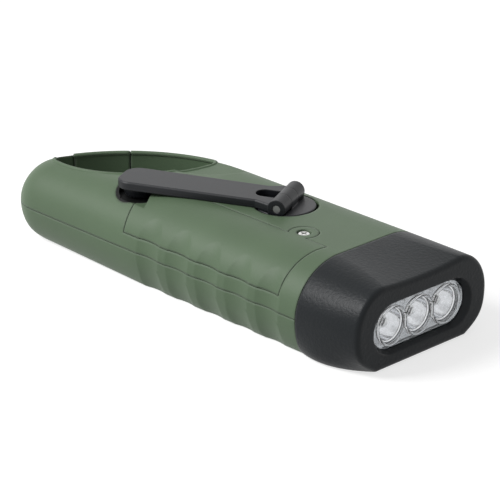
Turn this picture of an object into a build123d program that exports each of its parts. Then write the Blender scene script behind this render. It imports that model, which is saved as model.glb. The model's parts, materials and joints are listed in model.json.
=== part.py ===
from build123d import *
from math import acos, asin, atan2, copysign, cos, degrees, hypot, pi, radians, sin, tan
import os

# Hand crank flashlight with a carabiner loop. Millimetres, +X to the head, +Z to
# the crank side, origin on the table under the middle of the body.

# Body
WIDTH = 49.6
PARTING_Z = 10.2
DECK_Z = 23.8
TIP_DECK_Z = 21.0
HEAD_X = 67.75
SEAM_X = 47.05
JOIN_X = -12.25
SHOULDER_A = 15.0
BELLY_A = 6.5
BELLY_B = 11.5
WALL = 2.0
SEAM = 0.2
SEAM_DEPTH = 0.8

# Loop end, as a filleted outline
NOSE_R = 11.5
NOSE_MIN_R = 4.5
NOSE_TURN = 115.0
NOSE_X = -56.25
TIP_X = NOSE_X - NOSE_R
UPPER_END_RATIO = 0.64
LOWER_END_RATIO = 1.6
FAR_R = (WIDTH - NOSE_R * (1 - cos(radians(NOSE_TURN)))) / (1 + cos(radians(NOSE_TURN)))
FAR_C = (
    NOSE_X + (FAR_R - NOSE_R) * sin(radians(NOSE_TURN)),
    WIDTH / 2 - FAR_R,
)
NEAR_HOLE_C = (-51.75, 13.6)
NEAR_HOLE_R = 28.5
GATE_WIDTH = 7.6
HOLE_CORNER_R = 3.0
RAMP_C = (-30.25, 20.0)
RAMP_R = 21.0
RAMP_RUN = 3.0
RAMP_LOW_Z = 22.6

# Gate of the loop
GATE_FREE_ANGLE = 132.1
GATE_PIN_ANGLE = 151.5
GATE_GAP = 0.35
GATE_KNUCKLE_R = 3.5
GATE_PIN_R = 0.9
FORK_LOW_Z = 5.0
FORK_HIGH_Z = 15.0
FORK_R = GATE_WIDTH / 2
SPRING_Z = 12.6
SPRING_WIRE_R = 0.25

# Cavity
CAVITY_X = -19.5

# Side cover
COVER_X0 = -17.5
COVER_X1 = 41.8
COVER_LOW_Z = 14.5
COVER_TOP_Y = -8.3
COVER_SCREW = (31.1, -5.7)
COVER_TAB_R = 3.9
COVER_SCREW_R = 1.6
COVER_SCREW_SINK = 0.25
COVER_BOSS_LOW_Z = 17.0
COVER_BOSS_R = 2.6
COVER_BEND_Y = 7.3 - WIDTH / 2
COVER_OUT_Y = -5.2 - WIDTH / 2

# Grip scallops
SCALLOP_COUNT = 5
SCALLOP_PITCH = 11.25
SCALLOP_X = -8.2
SCALLOP_R = 17.0
SCALLOP_AXIS = (15.72, 9.6)
SCALLOP_VALLEY = 15.2

# Head cap and window
CAP_MID_X = 60.75
LENS_Z = 10.4
LENS_RECESS = 1.7
LENS_T = 1.2
WINDOW_HALF_Y = 16.7
WINDOW_HALF_Z = 6.0
WINDOW_BEVEL = 1.3
LED_PITCH = 9.81
CUP_R = 4.55
CUP_BACK_R = 1.9
CUP_DEPTH = 5.6
REFLECTOR_T = 6.4
LED_R = 1.5
BOARD_T = 1.2

# Crank
HUB = (13.95, 4.8)
ARM_ANGLE = 205.5
DISC_R = 8.0
DISC_GAP = 0.8
DISC_T = 2.1
DISC_TOP_Z = DECK_Z - 0.1
HINGE_Z = DECK_Z + 1.3
KNUCKLE_R = 2.5
BARREL_HALF = 7.6
SIDE_GAP = 0.12
PIN_R = 1.0
RUN_GAP = 0.05
ARM_T = 2.2
ARM_REACH = 46.9
ARM_HALF = 5.55
ARM_TIP_HALF = 5.9
ARM_SLOT_X = 8.4
ARM_SLOT_HALF = 2.5
KNOB_X = 41.7
KNOB_TOP_R = 4.9
KNOB_LOW_R = 3.7
KNOB_LOW_Z = 20.95
KNOB_PIN_R = 1.2
KNOB_HEAD_R = 2.1
WELL_FLOOR_Z = 20.6
WELL_BASE_Z = 18.6
WELL_R = 5.6
WELL_WALL = 0.8
SWEEP_GAP = 0.35
SWEEP_ANGLE = 26.0

# Gear train
PRESSURE = 25.0
DRIVE_MODULE = 0.8
DRIVE_TEETH = 36
IDLER_PINION_TEETH = 12
ROTOR_MODULE = 0.6
IDLER_TEETH = 32
ROTOR_TEETH = 10
BACKLASH = 0.16
IDLER_ANGLE = 195.0
ROTOR_ANGLE = -40.0
DRIVE_Z = (12.2, 14.2)
IDLER_PINION_Z = (11.0, 14.4)
IDLER_Z = (9.4, 11.0)
ROTOR_PINION_Z = (9.1, 10.95)
PLATE_Z = (15.0, 16.2)
PLATE_POSTS = ((-11.0, -14.5), (-11.0, 14.0), (30.5, -12.0), (31.2, 13.5))
DRIVE_REACH = DRIVE_MODULE * (DRIVE_TEETH + IDLER_PINION_TEETH) / 2
IDLER = (
    HUB[0] + DRIVE_REACH * cos(radians(IDLER_ANGLE)),
    HUB[1] + DRIVE_REACH * sin(radians(IDLER_ANGLE)),
)
ROTOR_REACH = ROTOR_MODULE * (IDLER_TEETH + ROTOR_TEETH) / 2
ROTOR = (
    IDLER[0] + ROTOR_REACH * cos(radians(ROTOR_ANGLE)),
    IDLER[1] + ROTOR_REACH * sin(radians(ROTOR_ANGLE)),
)
SHAFT_R = 3.0
AXLE_R = 1.25
ROTOR_SHAFT_R = 0.75
CAN_R = 9.8
CAN_T = 0.6
CAN_TOP_Z = 8.6
MAGNET_R = 5.4

# Inside
FLOOR_Z = WALL
SCREW_POSTS = (
    (-16.0, 9.3 - WIDTH / 2),
    (-15.0, WIDTH / 2 - 8.8),
    (28.0, 7.8 - WIDTH / 2),
    (28.0, WIDTH / 2 - 6.3),
)
SCREW_HEAD_R = 2.2
SCREW_R = 1.1
BUTTON = (37.8, 0.0)
BUTTON_R = 5.2
BEZEL_R = 6.9
BUTTON_TRAVEL = 0.8
BOARD_Z = 9.6
BOARD_X = (33.2, 44.2)
BOARD_HALF = 15.0
BOARD_POSTS = ((34.8, -13.4), (34.8, 13.4), (42.6, -13.4), (42.6, 13.4))
BATTERY_R = 5.0
BATTERY_Z = 16.3
BATTERY_HALF = 9.0


def at(x, y, z=0.0):
    return Pos(x, y, z)


def rod(x, y, z0, z1, radius):
    """Upright cylinder between two heights."""
    return at(x, y, (z0 + z1) / 2) * Cylinder(radius, z1 - z0)


def block(x0, x1, y0, y1, z0, z1):
    return Pos((x0 + x1) / 2, (y0 + y1) / 2, (z0 + z1) / 2) * Box(x1 - x0, y1 - y0, z1 - z0)


def save(shape, name):
    shape.label = name
    export_step(shape, f"parts/{name}.step")


# ---------------------------------------------------------------- outer form
def body_section(skin):
    """Loaf section of the plain body, taken in from the surface by skin."""
    half = WIDTH / 2 - skin
    a_up = SHOULDER_A - skin
    b_up = DECK_Z - PARTING_Z - skin
    low = asin((PARTING_Z - skin) / BELLY_B)
    foot_y = half - BELLY_A * (1 - cos(low))
    upper = EllipticalCenterArc((half - a_up, PARTING_Z), a_up, b_up, arc_size=90)
    belly = (half - BELLY_A, PARTING_Z)
    lower = EllipticalCenterArc(belly, BELLY_A, BELLY_B, arc_size=-degrees(low))
    top = Line((half - a_up, DECK_Z - skin), (0, DECK_Z - skin))
    foot = Line((foot_y, skin), (0, skin))
    side = Curve() + [upper, lower, top, foot]
    outline = side + mirror(side, Plane.YZ)
    return Plane.YZ * make_face(outline.edges())


def corner_arc(before, corner, after, radius):
    """Start, middle and end of the arc that rounds a corner."""
    ends = []
    for other in (before, after):
        dx, dy = other[0] - corner[0], other[1] - corner[1]
        size = hypot(dx, dy)
        ends.append((dx / size, dy / size))
    half = acos(ends[0][0] * ends[1][0] + ends[0][1] * ends[1][1]) / 2
    reach = radius / tan(half)
    bx, by = ends[0][0] + ends[1][0], ends[0][1] + ends[1][1]
    depth = (radius / sin(half) - radius) / hypot(bx, by)
    first = (corner[0] + reach * ends[0][0], corner[1] + reach * ends[0][1])
    last = (corner[0] + reach * ends[1][0], corner[1] + reach * ends[1][1])
    return first, (corner[0] + depth * bx, corner[1] + depth * by), last


def outline_points(side_inset, end_inset):
    """Points along the loop end's plan outline, from the near join to the far one."""
    turn = radians(NOSE_TURN)
    touch = (NOSE_X - NOSE_R * sin(turn), -WIDTH / 2 + NOSE_R * (1 - cos(turn)))
    near_x = touch[0] - (touch[1] + WIDTH / 2) / tan(pi - turn)
    far_x = touch[0] + (WIDTH / 2 - touch[1]) / tan(pi - turn)
    half = WIDTH / 2 - end_inset
    near = (near_x + end_inset * tan(turn / 2), -half)
    far = (far_x + end_inset * tan((pi - turn) / 2), half)
    start = (JOIN_X, -(WIDTH / 2 - side_inset))
    finish = (JOIN_X, WIDTH / 2 - side_inset)
    nose_r = max(NOSE_R - end_inset, NOSE_MIN_R)
    diagonal = hypot(far[0] - near[0], far[1] - near[1])
    straight = hypot(finish[0] - far[0], finish[1] - far[1])
    bend_turn = pi - turn + atan2(far[1] - finish[1], finish[0] - far[0])
    room = min(diagonal - nose_r * tan(turn / 2) - 1.5, straight - 0.5)
    far_r = min(FAR_R - end_inset, room / tan(bend_turn / 2))
    nose = corner_arc(start, near, far, nose_r)
    bend = corner_arc(near, far, finish, far_r)
    guide = [
        (Line(start, nose[0]), 12),
        (ThreePointArc(*nose), 10),
        (Line(nose[2], bend[0]), 1),
        (ThreePointArc(*bend), 12),
        (Line(bend[2], finish), 2),
    ]
    return [edge @ (k / count) for edge, count in guide for k in range(count)] + [
        Vector(*finish)
    ]


def loop_outline(side_inset, end_inset):
    """Plan face of the loop end, taken in by different amounts at the join and the nose."""
    widest = outline_points(0, 0)
    steps = [0.0]
    for first, last in zip(widest, widest[1:]):
        steps.append(steps[-1] + (last - first).length)
    shares = [step / steps[-1] for step in steps]
    points = outline_points(side_inset, end_inset)
    tangents = (points[1] - points[0], points[-1] - points[-2])
    smooth = Edge.make_spline(points, tangents=tangents, parameters=shares)
    return make_face([smooth, Edge.make_line(points[-1], points[0])])


def loop_form(skin):
    """Loop end as a loft through level and gently tilting outlines."""
    slices = []
    low = degrees(asin((PARTING_Z - skin) / BELLY_B))
    for share in (1.0, 0.66, 0.33):
        t = radians(low * share)
        inset = BELLY_A * (1 - cos(t))
        z = PARTING_Z - BELLY_B * sin(t)
        outline = loop_outline(inset + skin, LOWER_END_RATIO * inset + skin)
        slices.append(Pos(0, 0, z) * outline)
    b_up = DECK_Z - PARTING_Z - skin
    a_up = SHOULDER_A - skin
    drop = (DECK_Z - TIP_DECK_Z) / (DECK_Z - PARTING_Z) / (JOIN_X - TIP_X)
    for angle in (0, 22, 42, 60, 76, 90):
        t = radians(angle)
        inset = a_up * (1 - cos(t))
        rise = b_up * sin(t)
        tilt = Plane(
            origin=(JOIN_X, 0, PARTING_Z + rise),
            x_dir=(1, 0, rise * drop),
            z_dir=(-rise * drop, 0, 1),
        )
        outline = loop_outline(inset + skin, UPPER_END_RATIO * inset + skin)
        slices.append(tilt * (Pos(-JOIN_X, 0, 0) * outline))
    return loft(slices)


def outer_form(skin=0.0):
    body = Pos(JOIN_X, 0, 0) * extrude(body_section(skin), SEAM_X - JOIN_X)
    return body + loop_form(skin)


def slab(z0, z1):
    """Level layer wider than the body."""
    return block(-90, 90, -60, 60, z0, z1)


def skin_band(depth):
    """Outermost layer of the plain body, down to depth, with a margin outside."""
    outside = block(-90, SEAM_X, -60, 60, -5, DECK_Z + 10)
    return outside - outer_form(depth)


# ---------------------------------------------------------------- loop and gate
def far_point(radius, angle):
    a = radians(angle)
    return (FAR_C[0] + radius * cos(a), FAR_C[1] + radius * sin(a))


GATE_MID_R = FAR_R - GATE_WIDTH / 2
GATE_PIN = far_point(GATE_MID_R, GATE_PIN_ANGLE)
GATE_REACH = 2 * GATE_MID_R * sin(radians(GATE_PIN_ANGLE - GATE_FREE_ANGLE) / 2)


def hole_face():
    """Lens-shaped opening of the loop between two arcs."""
    near = Pos(*NEAR_HOLE_C) * Circle(NEAR_HOLE_R)
    far = Pos(*FAR_C) * Circle(FAR_R - GATE_WIDTH)
    lens = near & far
    return fillet(lens.vertices(), HOLE_CORNER_R)


def loop_hole():
    return extrude(hole_face(), DECK_Z + 2)


def ramp():
    """Shallow dished step of the deck at the body side of the loop."""
    x, y = RAMP_C
    low, high = RAMP_LOW_Z, DECK_Z + 0.1
    corners = [(0, low), (RAMP_R - RAMP_RUN, low), (RAMP_R, high), (RAMP_R, 30), (0, 30)]
    profile = Plane.XZ * make_face(Polyline(*corners, close=True).edges())
    return Pos(x, y, 0) * revolve(profile, Axis.Z)


def gate_sector(start, finish):
    """Upright wedge over the far arm between two angles about the far arc's centre."""
    inner = FAR_R - GATE_WIDTH - 3
    outer = (FAR_R + 3) / cos(radians(finish - start) / 2)
    corners = [far_point(inner, start), far_point(outer, start)]
    corners += [far_point(outer, finish), far_point(inner, finish)]
    return extrude(make_face(Polyline(*corners, close=True).edges()), DECK_Z + 2)


def gate_space():
    """Room cut out of the far arm for the gate and its knuckle."""
    x, y = GATE_PIN
    reach = rod(x, y, 0, DECK_Z + 2, GATE_REACH + GATE_GAP)
    arm = reach & gate_sector(GATE_FREE_ANGLE - 9, GATE_PIN_ANGLE)
    forks = rod(x, y, 0, FORK_LOW_Z, FORK_R) + rod(x, y, FORK_HIGH_Z, DECK_Z + 2, FORK_R)
    slot = rod(x, y, FORK_LOW_Z, FORK_HIGH_Z, GATE_WIDTH / 2 + 0.6)
    return (arm - forks) + slot


def gate(arm_form):
    """Swinging part of the loop with its knuckle between the fork plates."""
    x, y = GATE_PIN
    reach = rod(x, y, 0, DECK_Z + 2, GATE_REACH)
    start, finish = GATE_FREE_ANGLE - 9, GATE_PIN_ANGLE
    whole = arm_form & reach & gate_sector(start, finish)
    ends = rod(x, y, 0, FORK_LOW_Z + SIDE_GAP, FORK_R + GATE_GAP)
    ends += rod(x, y, FORK_HIGH_Z - SIDE_GAP, DECK_Z + 2, FORK_R + GATE_GAP)
    ends += rod(x, y, 0, DECK_Z + 2, GATE_KNUCKLE_R)
    knuckle = rod(x, y, FORK_LOW_Z + SIDE_GAP, SPRING_Z, GATE_KNUCKLE_R)
    bore = rod(x, y, 0, DECK_Z + 2, GATE_PIN_R + RUN_GAP)
    recess = rod(x, y, SPRING_Z, FORK_HIGH_Z, GATE_KNUCKLE_R + SIDE_GAP)
    return whole - ends - recess + knuckle - bore


def gate_pin():
    x, y = GATE_PIN
    return rod(x, y, FORK_LOW_Z - 3.0, FORK_HIGH_Z + 3.0, GATE_PIN_R)


def gate_spring():
    """Wire coil round the hinge pin, resting on the knuckle."""
    x, y = GATE_PIN
    start = SPRING_Z + SPRING_WIRE_R + 0.05
    height = FORK_HIGH_Z - SPRING_WIRE_R - 0.05 - start
    path = Helix(height / 3, height, GATE_PIN_R + 4 * SPRING_WIRE_R)
    wire = Plane(origin=path @ 0, z_dir=path % 0) * Circle(SPRING_WIRE_R)
    return Pos(x, y, start) * sweep(wire, path=path)


# ---------------------------------------------------------------- grip
def scallops():
    """Rings that leave shallow hollows down both flanks."""
    inset, z = SCALLOP_AXIS
    y = WIDTH / 2 - inset
    base = SCALLOP_VALLEY
    rings = []
    for k in range(SCALLOP_COUNT):
        x = SCALLOP_X + k * SCALLOP_PITCH
        dish = Pos(x, base + SCALLOP_R) * Circle(SCALLOP_R)
        strip = Pos(x, base + 0.5) * Rectangle(SCALLOP_PITCH, 1.0)
        ring = revolve(dish & strip, Axis.X)
        half = block(x - 9, x + 9, 0, 40, -20, 20)
        rings.append(Pos(0, y, z) * (ring & half))
    return rings + [mirror(ring, Plane.XZ) for ring in rings]


# ---------------------------------------------------------------- knob seat
KNOB = (
    HUB[0] + KNOB_X * cos(radians(ARM_ANGLE)),
    HUB[1] + KNOB_X * sin(radians(ARM_ANGLE)),
)


def seat_space():
    return rod(*KNOB, WELL_BASE_Z, DECK_Z + 2, WELL_R + WELL_WALL)


def knob_sweep():
    """Path that the knob takes from its seat out over the near edge."""
    low = KNOB_LOW_R + SWEEP_GAP
    high = KNOB_TOP_R + SWEEP_GAP
    base = KNOB_LOW_Z - 0.2
    corners = [(KNOB_X - low, base), (KNOB_X + low, base)]
    corners += [(KNOB_X + high, DECK_Z + 0.2), (KNOB_X - high, DECK_Z + 0.2)]
    profile = Plane.XZ * make_face(Polyline(*corners, close=True).edges())
    swept = revolve(profile, Axis.Z, SWEEP_ANGLE)
    return Pos(*HUB, 0) * Rot(0, 0, ARM_ANGLE) * swept


def knob_well(form):
    """Lining of the knob's seat, following the surface round it."""
    hollow = rod(*KNOB, WELL_FLOOR_Z, DECK_Z + 2, WELL_R)
    return (seat_space() & form) - hollow - knob_sweep()


# ---------------------------------------------------------------- side cover
def cover_prism(grow):
    """Upright outline of the side cover with its screw tab."""
    x0, x1, top = COVER_X0 - grow, COVER_X1 + grow, COVER_TOP_Y + grow
    sx, sy = COVER_SCREW
    left = [(x0 + 0.9, COVER_OUT_Y), (x0 - 2.2, COVER_BEND_Y), (x0, top)]
    edges = Polyline((x1 - 1.9, COVER_OUT_Y), *left, (x1, top))
    middle = (x1 - 1.1, COVER_BEND_Y + 0.5)
    bow = ThreePointArc((x1, top), middle, (x1 - 1.9, COVER_OUT_Y))
    panel = extrude(make_face(edges.edges() + bow.edges()), 40)
    panel = panel & slab(COVER_LOW_Z - grow, 40)
    return panel + rod(sx, sy, COVER_LOW_Z, 40, COVER_TAB_R + grow)


def side_cover(form, band):
    sx, sy = COVER_SCREW
    plate = form & band & cover_prism(0)
    head = rod(sx, sy, DECK_Z - COVER_SCREW_SINK - 1.0, 30, COVER_SCREW_R + 0.35)
    hole = rod(sx, sy, 15, 30, SCREW_R)
    return plate - head - hole - seat_space() - knob_sweep()


def cover_screw():
    sx, sy = COVER_SCREW
    top = DECK_Z - COVER_SCREW_SINK
    head = rod(sx, sy, top - 1.0, top, COVER_SCREW_R)
    head = fillet(head.edges().group_by(Axis.Z)[-1], 0.3)
    shank = rod(sx, sy, 17.5, top - 1.0, SCREW_R)
    return head + shank - cross_recess(sx, sy, top)


def cross_recess(x, y, top):
    """Cross slot sunk into a screw head."""
    bar = block(-1.0, 1.0, -0.22, 0.22, -0.5, 0.5)
    return Pos(x, y, top) * (bar + Rot(0, 0, 90) * bar)


# ---------------------------------------------------------------- shells
def post_sites(sites, z0, z1, radius):
    return [rod(x, y, z0, z1, radius) for x, y in sites]


def cavity():
    """Inside of the plain body."""
    section = Pos(CAVITY_X, 0, 0) * body_section(WALL)
    return extrude(section, SEAM_X + 1 - CAVITY_X)


def upper_shell(form, band):
    sx, sy = COVER_SCREW
    inside = cavity() & slab(PARTING_Z - 1, 40)
    kept = post_sites(SCREW_POSTS, 0, 40, SCREW_R + WALL - 0.5)
    low, side = COVER_BOSS_LOW_Z, COVER_BOSS_R
    kept += [rod(sx, sy, low, 40, side), block(sx - side, sx + side, sy, 0.5, low, 40)]
    for x, y in SCREW_POSTS:
        ends = sorted((y, copysign(WIDTH / 2 - 1, y)))
        kept.append(block(x - 1, x + 1, *ends, PARTING_Z - 2, COVER_LOW_Z - 0.5))
    shell = form - (inside - kept)
    shell -= band & cover_prism(SEAM)
    shell -= rod(*HUB, 20, 40, DISC_R + DISC_GAP)
    shell -= [seat_space(), knob_sweep(), gate_space()]
    shell -= post_sites(SCREW_POSTS, 0, 14.5, SCREW_R)
    shell -= rod(sx, sy, 17.5, 30, SCREW_R)
    shell -= rod(*GATE_PIN, FORK_HIGH_Z - 1, FORK_HIGH_Z + 3.0, GATE_PIN_R)
    return shell


def lower_shell(form):
    inside = cavity() & slab(-1, PARTING_Z + 1)
    kept = post_sites(SCREW_POSTS, 0, PARTING_Z, SCREW_R + WALL - 0.5)
    kept += post_sites(SCREW_POSTS, 0, 5.5, SCREW_HEAD_R + 1.2)
    kept += [rod(*IDLER, 0, IDLER_Z[0] - 0.2, AXLE_R + 0.95)]
    kept += post_sites(PLATE_POSTS, 0, 40, 1.8)
    kept += post_sites(BOARD_POSTS, 0, BOARD_Z, 1.4)
    shell = (form & slab(0, PARTING_Z)) - (inside - kept)
    posts = [rod(x, y, PARTING_Z - 0.5, PLATE_Z[0], 1.8) for x, y in PLATE_POSTS]
    shell += posts
    shell -= post_sites(SCREW_POSTS, -1, 4.0, SCREW_HEAD_R + 0.15)
    shell -= post_sites(SCREW_POSTS, -1, 20, SCREW_R + 0.15)
    shell -= rod(*IDLER, 4.0, 20, AXLE_R)
    shell -= rod(*ROTOR, FLOOR_Z - 0.9, 5, ROTOR_SHAFT_R + RUN_GAP)
    shell -= [gate_space(), rod(*BUTTON, -1, 5, BEZEL_R)]
    shell -= rod(*GATE_PIN, FORK_LOW_Z - 3.0, FORK_LOW_Z + 1, GATE_PIN_R)
    return shell


def shell_screws():
    """Four countersunk case screws, driven in from below."""
    screws = []
    for x, y in SCREW_POSTS:
        head = rod(x, y, 2.6, 4.0, SCREW_HEAD_R)
        screws.append(head + rod(x, y, 4.0, 14.0, SCREW_R) - cross_recess(x, y, 2.6))
    return Compound(children=screws)


# ---------------------------------------------------------------- head
def cap_section(x, foot, half, wide_z, flat, flat_z, mid_z, skin=0.0):
    """Cross-section of the head cap from its main points."""
    half, foot, flat = half - skin, foot - skin * 0.6, flat - skin * 0.3
    flat_z, mid_z, low_z = flat_z - skin, mid_z - skin, skin
    upper = EllipticalCenterArc((flat, wide_z), half - flat, flat_z - wide_z, arc_size=90)
    low = wide_z - low_z
    lower = Spline(
        (half, wide_z),
        (half - (half - foot) * 0.22, wide_z - low * 0.62),
        (foot, low_z),
        tangents=((0, -1), (-1.0, -0.5)),
    )
    roof = ThreePointArc((flat, flat_z), (0, mid_z), (-flat, flat_z))
    sole = Line((foot, low_z), (-foot, low_z))
    pair = Curve() + [upper, lower]
    outline = pair + [roof if mid_z != flat_z else Line((flat, flat_z), (-flat, flat_z))]
    outline += [sole, mirror(pair, Plane.YZ)]
    face = Plane.YZ * make_face(outline.edges())
    return Pos(x, 0, 0) * face


CAP_WIDTHS = [
    [WIDTH / 2 - inset for inset in insets]
    for insets in ((3.5, 0.0, 15.0), (4.4, 0.4, 12.6), (9.5, 1.1, 10.5))
]
CAP_SECTIONS = (
    (SEAM_X + SEAM, *CAP_WIDTHS[0][:2], PARTING_Z, CAP_WIDTHS[0][2], DECK_Z, DECK_Z - 0.01),
    (CAP_MID_X, *CAP_WIDTHS[1][:2], 10.9, CAP_WIDTHS[1][2], 23.0, 22.4),
    (HEAD_X, *CAP_WIDTHS[2][:2], 11.5, CAP_WIDTHS[2][2], 22.35, 21.55),
)


def stadium(half_y, half_z, x0, x1):
    """Rounded bar along X at the height of the window."""
    shape = Plane.YZ * SlotOverall(2 * half_y, 2 * half_z)
    return Pos(x0, 0, LENS_Z) * extrude(shape, x1 - x0)


LENS_X = HEAD_X - LENS_RECESS
REFLECTOR_X = LENS_X - LENS_T
BOARD_END_X = REFLECTOR_X - REFLECTOR_T
LED_YS = (-LED_PITCH, 0.0, LED_PITCH)


def head_cap():
    cap = loft([cap_section(*values) for values in CAP_SECTIONS])
    cap = fillet(cap.edges().group_by(Axis.X)[-1], 1.3)
    room = loft([cap_section(*values, skin=WALL + 0.4) for values in CAP_SECTIONS])
    cap -= room & block(SEAM_X, BOARD_END_X - 2.0, -60, 60, -5, 40)
    cap -= stadium(WINDOW_HALF_Y, WINDOW_HALF_Z, BOARD_END_X - 2.5, HEAD_X + 1)
    front = Plane.YZ * SlotOverall(2 * (WINDOW_HALF_Y + WINDOW_BEVEL), 2 * (WINDOW_HALF_Z + 1.0))
    back = Plane.YZ * SlotOverall(2 * WINDOW_HALF_Y, 2 * WINDOW_HALF_Z)
    cap -= loft([Pos(LENS_X, 0, LENS_Z) * back, Pos(HEAD_X + 0.01, 0, LENS_Z) * front])
    tongue = body_section(WALL + 0.06) - body_section(WALL + 1.4)
    cap += extrude(Pos(SEAM_X - 2.4, 0, 0) * tongue, 2.8)
    return cap


def reflector():
    """Bright block with three deep cups facing the window."""
    body = stadium(WINDOW_HALF_Y, WINDOW_HALF_Z, BOARD_END_X, REFLECTOR_X)
    start = REFLECTOR_X - CUP_DEPTH
    points = [(0, CUP_BACK_R)]
    points += [(CUP_DEPTH * 0.45, CUP_BACK_R + (CUP_R - CUP_BACK_R) * 0.62)]
    points += [(CUP_DEPTH, CUP_R)]
    curve = Spline(*points)
    rim = Polyline((CUP_DEPTH, CUP_R), (CUP_DEPTH, 0), (0, 0), (0, CUP_BACK_R))
    cup = revolve(make_face(curve.edges() + rim.edges()), Axis.X)
    back = Rot(0, 90, 0) * Cylinder(CUP_BACK_R, 4)
    for y in LED_YS:
        body -= Pos(start, y, LENS_Z) * cup
        body -= Pos(start, y, LENS_Z) * back
    return body


def lens():
    return stadium(WINDOW_HALF_Y, WINDOW_HALF_Z, REFLECTOR_X, LENS_X)


def leds():
    """Three domed lamps standing in the cups."""
    lamps = []
    for y in LED_YS:
        stem = Rot(0, 90, 0) * Cylinder(LED_R, 2.4, align=(Align.CENTER, Align.CENTER, Align.MIN))
        dome = Pos(2.4, 0, 0) * Sphere(LED_R)
        lamps.append(Pos(BOARD_END_X, y, LENS_Z) * (stem + dome))
    return Compound(children=lamps)


def led_board():
    return stadium(WINDOW_HALF_Y - 0.2, WINDOW_HALF_Z - 0.2, BOARD_END_X - BOARD_T, BOARD_END_X)


# ---------------------------------------------------------------- crank
def crank_place(shape):
    """Turn and shift a shape drawn along +X from the hub to where the crank lies."""
    return Pos(*HUB, 0) * Rot(0, 0, ARM_ANGLE) * shape


def barrel(radius, s0, s1):
    """Cylinder round the folding axis between two offsets along it."""
    return Pos(0, (s0 + s1) / 2, HINGE_Z) * Rot(90, 0, 0) * Cylinder(radius, s1 - s0)


def crank_disc():
    """Turning disc with a groove for the knuckles and the middle lug."""
    low = DISC_TOP_Z - DISC_T
    disc = rod(0, 0, low, DISC_TOP_Z, DISC_R)
    disc = fillet(disc.edges().group_by(Axis.Z)[-1], 0.35)
    for side in (-1, 1):
        ends = sorted((side * ARM_SLOT_HALF, side * (DISC_R + 1)))
        disc -= barrel(KNUCKLE_R + 0.2, *ends)
    half = ARM_SLOT_HALF - SIDE_GAP
    lug = barrel(KNUCKLE_R, -half, half)
    lug += block(-KNUCKLE_R, KNUCKLE_R, -half, half, low + 0.5, HINGE_Z)
    return crank_place(disc + lug - barrel(PIN_R, -half, half))


def hinge_pin():
    return crank_place(barrel(PIN_R, 0.15 - BARREL_HALF, BARREL_HALF - 0.15))


def crank_arm():
    """Flat arm, forked at the hub end into two knuckles."""
    low = DECK_Z + 0.15
    upper = [(0, BARREL_HALF), (1.6, BARREL_HALF), (6.6, ARM_HALF), (ARM_REACH, ARM_TIP_HALF)]
    lower = [(x, -y) for x, y in reversed(upper)]
    plan = make_face(Polyline(*upper, *lower, close=True).edges())
    tip = plan.vertices().group_by(Axis.X)[-1]
    plan = fillet(tip, 4.2)
    plate = Pos(0, 0, low) * extrude(plan, ARM_T)
    plate = chamfer(plate.edges().group_by(Axis.Z)[-1], 0.35)
    for side in (-1, 1):
        plate += barrel(KNUCKLE_R, *sorted((side * ARM_SLOT_HALF, side * BARREL_HALF)))
    slot = block(-5, ARM_SLOT_X - ARM_SLOT_HALF, -ARM_SLOT_HALF, ARM_SLOT_HALF, 20, 30)
    slot += rod(ARM_SLOT_X - ARM_SLOT_HALF, 0, 20, 30, ARM_SLOT_HALF)
    plate -= slot
    plate -= barrel(PIN_R + RUN_GAP, -BARREL_HALF - 1, BARREL_HALF + 1)
    return crank_place(plate - rod(KNOB_X, 0, 20, low + ARM_T - 0.8, KNOB_PIN_R))


def knob_pin():
    """Headed pin that carries the knob under the arm."""
    low = KNOB_LOW_Z + 0.35
    pin = rod(KNOB_X, 0, low, DECK_Z + 0.15 + ARM_T - 0.8, KNOB_PIN_R)
    return crank_place(pin + rod(KNOB_X, 0, low, low + 0.6, KNOB_HEAD_R))


def knob():
    """Tapered finger knob, counterbored for the pin's head."""
    ends = [Pos(0, 0, KNOB_LOW_Z) * Circle(KNOB_LOW_R), Pos(0, 0, DECK_Z) * Circle(KNOB_TOP_R)]
    body = loft(ends)
    body = fillet(body.edges().group_by(Axis.Z)[0], 0.5)
    body -= rod(0, 0, 20, 30, KNOB_PIN_R + RUN_GAP)
    body -= rod(0, 0, 20, KNOB_LOW_Z + 1.05, KNOB_HEAD_R + RUN_GAP)
    return Pos(*KNOB, 0) * body


def hub_collar():
    """Bearing ring pressed under the deck round the crank disc."""
    low = DISC_TOP_Z - DISC_T - 0.3
    ring = rod(*HUB, low - 1.4, low, DISC_R + DISC_GAP + 1.7)
    ring += rod(*HUB, low, DECK_Z - WALL, DISC_R + DISC_GAP + 1.7)
    ring -= rod(*HUB, low, DECK_Z, DISC_R + DISC_GAP + 0.1)
    return (ring & cavity()) - rod(*HUB, 10, 30, SHAFT_R + RUN_GAP)


# ---------------------------------------------------------------- gear train
def involute(angle):
    return tan(angle) - angle


def gear_face(module, teeth, toward):
    """Gear outline with the middle of one tooth facing the given direction."""
    pitch = module * teeth / 2
    base = pitch * cos(radians(PRESSURE))
    tip = pitch + 0.85 * module
    root = pitch - 1.1 * module
    middle = (pi / 2 - BACKLASH / 2 / module) / teeth + involute(radians(PRESSURE))
    flank = []
    start = max(base, root)
    for k in range(4):
        r = start + (tip - start) * (k / 3) ** 0.8
        flank.append((r, middle - involute(acos(min(1.0, base / r)))))
    if root < start - 0.02:
        flank.insert(0, (root, flank[0][1]))
    flank += [(r, -a) for r, a in reversed(flank)]
    points = []
    for k in range(teeth):
        turn = radians(toward) - 2 * pi * k / teeth
        points += [(r * cos(turn + a), r * sin(turn + a)) for r, a in flank]
    return make_face(Polyline(*points, close=True).edges())


def gear(centre, module, teeth, toward, levels):
    face = gear_face(module, teeth, toward)
    return Pos(*centre, levels[0]) * extrude(face, levels[1] - levels[0])


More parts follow.
